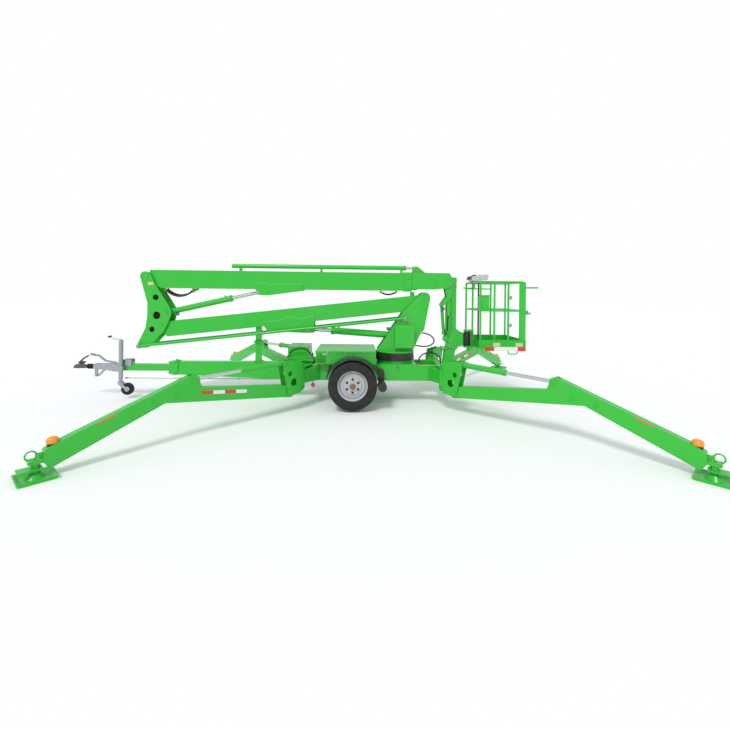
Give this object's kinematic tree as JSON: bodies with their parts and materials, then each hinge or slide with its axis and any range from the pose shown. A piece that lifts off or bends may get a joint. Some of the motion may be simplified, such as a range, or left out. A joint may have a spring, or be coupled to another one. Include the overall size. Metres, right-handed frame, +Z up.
{
  "type": "articulating boom lift",
  "caption": "Towable articulating boom lift with stowed double boom, telescoping upper boom, jib and open basket, standing on four spread outriggers with road wheels and a tow coupling.",
  "frame": {"origin": "on the ground under the middle of the machine's overall box", "axes": "+X from the tow coupling towards the basket, +Y to the side away from the entrance bar, +Z up"},
  "size_m": [8.6767, 6.4664, 2.338],
  "materials": {
    "green_paint": "satin",
    "silver_paint": "satin",
    "galvanised": "satin",
    "black_paint": "satin",
    "black_plastic": "matte",
    "grey_plastic": "matte",
    "rubber": "matte",
    "tyre": "matte",
    "chrome": "polished"
  },
  "bodies": {
    "chassis": {"chassis_frame": "green_paint", "drawbar": "green_paint", "overrun_housing": "galvanised", "tow_coupling": "galvanised", "coupling_bellows": "rubber", "jockey_column": "galvanised", "hose_box": "rubber", "axle": "galvanised", "mudguards": "black_plastic", "wheel_drives": "black_paint", "battery_box": "green_paint", "hydraulic_box": "green_paint", "slew_ring": "black_paint"},
    "jockey": {"jockey_wheel": "rubber"},
    "wheel_left": {"tyre_left": "tyre", "rim_left": "silver_paint"},
    "wheel_right": {"tyre_right": "tyre", "rim_right": "silver_paint"},
    "turret": {"turret": "green_paint", "turret_cover": "green_paint", "slew_gear": "black_paint"},
    "lower_boom": {"lower_boom": "green_paint"},
    "tie_rods": {"tie_rods": "green_paint"},
    "lower_ram_barrel": {"lower_ram_barrel": "green_paint"},
    "lower_ram_rod": {"lower_ram_rod": "chrome"},
    "knuckle": {"knuckle": "green_paint"},
    "upper_boom": {"upper_boom": "green_paint", "telescope_barrel": "green_paint", "hose_boom": "rubber"},
    "upper_ram_barrel": {"upper_ram_barrel": "green_paint"},
    "upper_ram_rod": {"upper_ram_rod": "chrome"},
    "inner_boom": {"inner_boom": "green_paint", "telescope_rod": "chrome"},
    "jib_head": {"jib_head": "green_paint"},
    "jib": {"jib": "green_paint", "hose_jib": "rubber"},
    "jib_link": {"jib_link": "green_paint"},
    "jib_ram_barrel": {"jib_ram_barrel": "green_paint"},
    "jib_ram_rod": {"jib_ram_rod": "chrome"},
    "basket_mount": {"basket_mount": "green_paint", "rotator": "black_paint"},
    "basket": {"basket_frame": "green_paint", "basket_floor": "green_paint", "console": "grey_plastic"},
    "outrigger_front_left": {"outrigger_bracket_front_left": "green_paint"},
    "leg_front_left": {"outrigger_leg_front_left": "green_paint"},
    "outrigger_barrel_front_left": {"outrigger_barrel_front_left": "green_paint"},
    "outrigger_rod_front_left": {"outrigger_rod_front_left": "chrome"},
    "outrigger_front_right": {"outrigger_bracket_front_right": "green_paint"},
    "leg_front_right": {"outrigger_leg_front_right": "green_paint"},
    "outrigger_barrel_front_right": {"outrigger_barrel_front_right": "green_paint"},
    "outrigger_rod_front_right": {"outrigger_rod_front_right": "chrome"},
    "outrigger_rear_left": {"outrigger_bracket_rear_left": "green_paint"},
    "leg_rear_left": {"outrigger_leg_rear_left": "green_paint"},
    "outrigger_barrel_rear_left": {"outrigger_barrel_rear_left": "green_paint"},
    "outrigger_rod_rear_left": {"outrigger_rod_rear_left": "chrome"},
    "outrigger_rear_right": {"outrigger_bracket_rear_right": "green_paint"},
    "leg_rear_right": {"outrigger_leg_rear_right": "green_paint"},
    "outrigger_barrel_rear_right": {"outrigger_barrel_rear_right": "green_paint"},
    "outrigger_rod_rear_right": {"outrigger_rod_rear_right": "chrome"}
  },
  "joints": [
    {"name": "jockey_wheel_spin", "type": "hinge", "parent": "chassis", "child": "jockey", "pos_m": [-3.38332, -0.098, 0.168], "axis": [0, 1, 0], "continuous": true},
    {"name": "wheel_left_spin", "type": "hinge", "parent": "chassis", "child": "wheel_left", "pos_m": [0.45868, -0.7525, 0.405], "axis": [0, 1, 0], "continuous": true},
    {"name": "wheel_right_spin", "type": "hinge", "parent": "chassis", "child": "wheel_right", "pos_m": [0.45868, 0.7525, 0.405], "axis": [0, 1, 0], "continuous": true},
    {"name": "turret_slew", "type": "hinge", "parent": "chassis", "child": "turret", "pos_m": [1.18068, 0, 0.776], "axis": [0, 0, 1], "range_deg": [-179, 179]},
    {"name": "lower_boom_lift", "type": "hinge", "parent": "turret", "child": "lower_boom", "pos_m": [1.68068, 0, 1.779], "axis": [0, 1, 0], "range_deg": [0, 68]},
    {"name": "tie_rods_swing", "type": "hinge", "parent": "turret", "child": "tie_rods", "pos_m": [1.34168, 0, 1.424], "axis": [0, 1, 0], "range_deg": [-1, 69]},
    {"name": "knuckle_level", "type": "hinge", "parent": "lower_boom", "child": "knuckle", "pos_m": [-2.82932, 0, 1.26], "axis": [0, -1, 0], "range_deg": [-1, 69]},
    {"name": "upper_boom_lift", "type": "hinge", "parent": "knuckle", "child": "upper_boom", "pos_m": [-3.09932, 0, 2.09], "axis": [0, -1, 0], "range_deg": [0, 60]},
    {"name": "boom_telescope", "type": "slide", "parent": "upper_boom", "child": "inner_boom", "axis": [1, 0, 0], "range_m": [0, 2.5]},
    {"name": "jib_head_level", "type": "hinge", "parent": "inner_boom", "child": "jib_head", "pos_m": [2.10868, 0, 2.047], "axis": [0, 1, 0], "range_deg": [-1, 61]},
    {"name": "jib_lift", "type": "hinge", "parent": "jib_head", "child": "jib", "pos_m": [2.11568, 0, 1.8], "axis": [0, -1, 0], "range_deg": [0, 120]},
    {"name": "jib_link_swing", "type": "hinge", "parent": "jib_head", "child": "jib_link", "pos_m": [2.20368, 0, 2.08], "axis": [0, -1, 0], "range_deg": [-1, 121]},
    {"name": "basket_level", "type": "hinge", "parent": "jib", "child": "basket_mount", "pos_m": [2.11568, 0, 0.95], "axis": [0, 1, 0], "range_deg": [-1, 121]},
    {"name": "basket_turn", "type": "hinge", "parent": "basket_mount", "child": "basket", "pos_m": [2.45568, 0, 1.07], "axis": [0, 0, 1], "range_deg": [-80, 80]},
    {"name": "lower_ram_barrel_swing", "type": "hinge", "parent": "turret", "child": "lower_ram_barrel", "pos_m": [1.24168, 0, 1.111], "axis": [0, 1, 0], "range_deg": [-1, 69]},
    {"name": "lower_ram_rod_slide", "type": "slide", "parent": "lower_ram_barrel", "child": "lower_ram_rod", "axis": [-0.9977, 0, 0.0671], "range_m": [-0.01, 0.9169]},
    {"name": "upper_ram_barrel_swing", "type": "hinge", "parent": "knuckle", "child": "upper_ram_barrel", "pos_m": [-2.74732, 0, 1.48], "axis": [0, -1, 0], "range_deg": [-1, 58]},
    {"name": "upper_ram_rod_slide", "type": "slide", "parent": "upper_ram_barrel", "child": "upper_ram_rod", "axis": [0.974, 0, 0.2267], "range_m": [-0.01, 0.7198]},
    {"name": "jib_ram_barrel_swing", "type": "hinge", "parent": "jib_head", "child": "jib_ram_barrel", "pos_m": [1.99768, 0, 1.66], "axis": [0, -1, 0], "range_deg": [-1, 119]},
    {"name": "jib_ram_rod_slide", "type": "slide", "parent": "jib_ram_barrel", "child": "jib_ram_rod", "axis": [0.0847, 0, -0.9964], "range_m": [-0.01, 0.3441]},
    {"name": "outrigger_swing_front_left", "type": "hinge", "parent": "chassis", "child": "outrigger_front_left", "pos_m": [-0.35532, -0.624, 0.5], "axis": [0, 0, -1], "range_deg": [0, 47]},
    {"name": "outrigger_raise_front_left", "type": "hinge", "parent": "outrigger_front_left", "child": "leg_front_left", "pos_m": [-0.53468, -0.81635, 0.32], "axis": [-0.7314, 0.682, 0], "range_deg": [0, 45]},
    {"name": "outrigger_barrel_swing_front_left", "type": "hinge", "parent": "outrigger_front_left", "child": "outrigger_barrel_front_left", "pos_m": [-0.60493, -0.89167, 0.763], "axis": [-0.7314, 0.682, 0], "range_deg": [-1, 57]},
    {"name": "outrigger_rod_slide_front_left", "type": "slide", "parent": "outrigger_barrel_front_left", "child": "outrigger_rod_front_left", "axis": [-0.6818, -0.7311, -0.0243], "range_m": [-0.3045, 0.01]},
    {"name": "outrigger_swing_front_right", "type": "hinge", "parent": "chassis", "child": "outrigger_front_right", "pos_m": [-0.35532, 0.624, 0.5], "axis": [0, 0, 1], "range_deg": [0, 47]},
    {"name": "outrigger_raise_front_right", "type": "hinge", "parent": "outrigger_front_right", "child": "leg_front_right", "pos_m": [-0.53468, 0.81635, 0.32], "axis": [0.7314, 0.682, 0], "range_deg": [0, 45]},
    {"name": "outrigger_barrel_swing_front_right", "type": "hinge", "parent": "outrigger_front_right", "child": "outrigger_barrel_front_right", "pos_m": [-0.60493, 0.89167, 0.763], "axis": [0.7314, 0.682, 0], "range_deg": [-1, 57]},
    {"name": "outrigger_rod_slide_front_right", "type": "slide", "parent": "outrigger_barrel_front_right", "child": "outrigger_rod_front_right", "axis": [-0.6818, 0.7311, -0.0243], "range_m": [-0.3045, 0.01]},
    {"name": "outrigger_swing_rear_left", "type": "hinge", "parent": "chassis", "child": "outrigger_rear_left", "pos_m": [1.88668, -0.624, 0.5], "axis": [0, 0, 1], "range_deg": [0, 47]},
    {"name": "outrigger_raise_rear_left", "type": "hinge", "parent": "outrigger_rear_left", "child": "leg_rear_left", "pos_m": [2.06605, -0.81635, 0.32], "axis": [-0.7314, -0.682, 0], "range_deg": [0, 45]},
    {"name": "outrigger_barrel_swing_rear_left", "type": "hinge", "parent": "outrigger_rear_left", "child": "outrigger_barrel_rear_left", "pos_m": [2.13629, -0.89167, 0.763], "axis": [-0.7314, -0.682, 0], "range_deg": [-1, 57]},
    {"name": "outrigger_rod_slide_rear_left", "type": "slide", "parent": "outrigger_barrel_rear_left", "child": "outrigger_rod_rear_left", "axis": [0.6818, -0.7311, -0.0243], "range_m": [-0.3045, 0.01]},
    {"name": "outrigger_swing_rear_right", "type": "hinge", "parent": "chassis", "child": "outrigger_rear_right", "pos_m": [1.88668, 0.624, 0.5], "axis": [0, 0, -1], "range_deg": [0, 47]},
    {"name": "outrigger_raise_rear_right", "type": "hinge", "parent": "outrigger_rear_right", "child": "leg_rear_right", "pos_m": [2.06605, 0.81635, 0.32], "axis": [0.7314, -0.682, 0], "range_deg": [0, 45]},
    {"name": "outrigger_barrel_swing_rear_right", "type": "hinge", "parent": "outrigger_rear_right", "child": "outrigger_barrel_rear_right", "pos_m": [2.13629, 0.89167, 0.763], "axis": [0.7314, -0.682, 0], "range_deg": [-1, 57]},
    {"name": "outrigger_rod_slide_rear_right", "type": "slide", "parent": "outrigger_barrel_rear_right", "child": "outrigger_rod_rear_right", "axis": [0.6818, 0.7311, -0.0243], "range_m": [-0.3045, 0.01]}
  ],
  "couplings": [
    {"joint": "tie_rods_swing", "follows": "lower_boom_lift", "ratio": 1},
    {"joint": "knuckle_level", "follows": "lower_boom_lift", "ratio": 1},
    {"joint": "jib_head_level", "follows": "upper_boom_lift", "ratio": 1},
    {"joint": "jib_link_swing", "follows": "jib_lift", "ratio": 1},
    {"joint": "basket_level", "follows": "jib_lift", "ratio": 1},
    {"joint": "lower_ram_barrel_swing", "follows": "lower_boom_lift", "ratio": 0.99},
    {"joint": "lower_ram_rod_slide", "follows": "lower_boom_lift", "m_per_rad": 0.76415},
    {"joint": "upper_ram_barrel_swing", "follows": "upper_boom_lift", "ratio": 0.93},
    {"joint": "upper_ram_rod_slide", "follows": "upper_boom_lift", "m_per_rad": 0.6778},
    {"joint": "jib_ram_barrel_swing", "follows": "jib_lift", "ratio": 0.975},
    {"joint": "jib_ram_rod_slide", "follows": "jib_lift", "m_per_rad": 0.15952},
    {"joint": "outrigger_barrel_swing_front_left", "follows": "outrigger_raise_front_left", "ratio": 1.225},
    {"joint": "outrigger_rod_slide_front_left", "follows": "outrigger_raise_front_left", "m_per_rad": -0.37494},
    {"joint": "outrigger_barrel_swing_front_right", "follows": "outrigger_raise_front_right", "ratio": 1.225},
    {"joint": "outrigger_rod_slide_front_right", "follows": "outrigger_raise_front_right", "m_per_rad": -0.37494},
    {"joint": "outrigger_barrel_swing_rear_left", "follows": "outrigger_raise_rear_left", "ratio": 1.225},
    {"joint": "outrigger_rod_slide_rear_left", "follows": "outrigger_raise_rear_left", "m_per_rad": -0.37494},
    {"joint": "outrigger_barrel_swing_rear_right", "follows": "outrigger_raise_rear_right", "ratio": 1.225},
    {"joint": "outrigger_rod_slide_rear_right", "follows": "outrigger_raise_rear_right", "m_per_rad": -0.37494}
  ]
}
